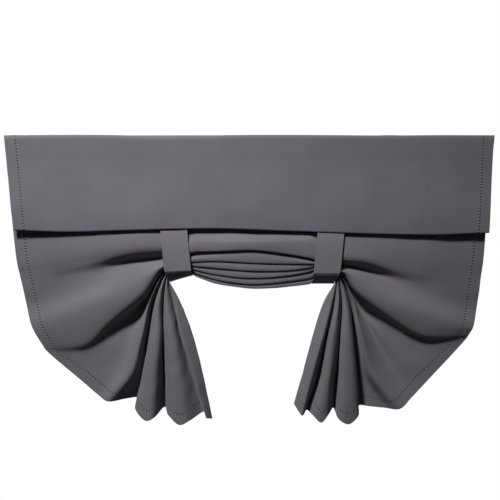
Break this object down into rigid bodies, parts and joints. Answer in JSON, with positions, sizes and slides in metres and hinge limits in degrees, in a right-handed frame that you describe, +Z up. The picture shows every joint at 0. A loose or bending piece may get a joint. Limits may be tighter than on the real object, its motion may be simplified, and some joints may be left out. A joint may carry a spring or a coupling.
{
  "type": "window curtain",
  "caption": "Tie-up window curtain: a gathered panel with a rod pocket, pleated side tails and a swag held by tie straps, under a plain valance flap.",
  "frame": {"origin": "the middle of the curtain rod's axis, inside the top of the rod pocket", "axes": "+X along the rod, to the viewer's right; +Z up; the front faces -Y"},
  "size_m": [1.1755, 0.0597, 0.6921],
  "materials": {
    "panel_cloth": "matt grey woven cloth",
    "flap_cloth": "matt grey woven cloth",
    "strap_cloth": "matt grey woven cloth, doubled"
  },
  "bodies": {
    "root": {"curtain_panel": "panel_cloth", "valance_flap": "flap_cloth", "left_tie_strap": "strap_cloth", "right_tie_strap": "strap_cloth"}
  },
  "joints": []
}
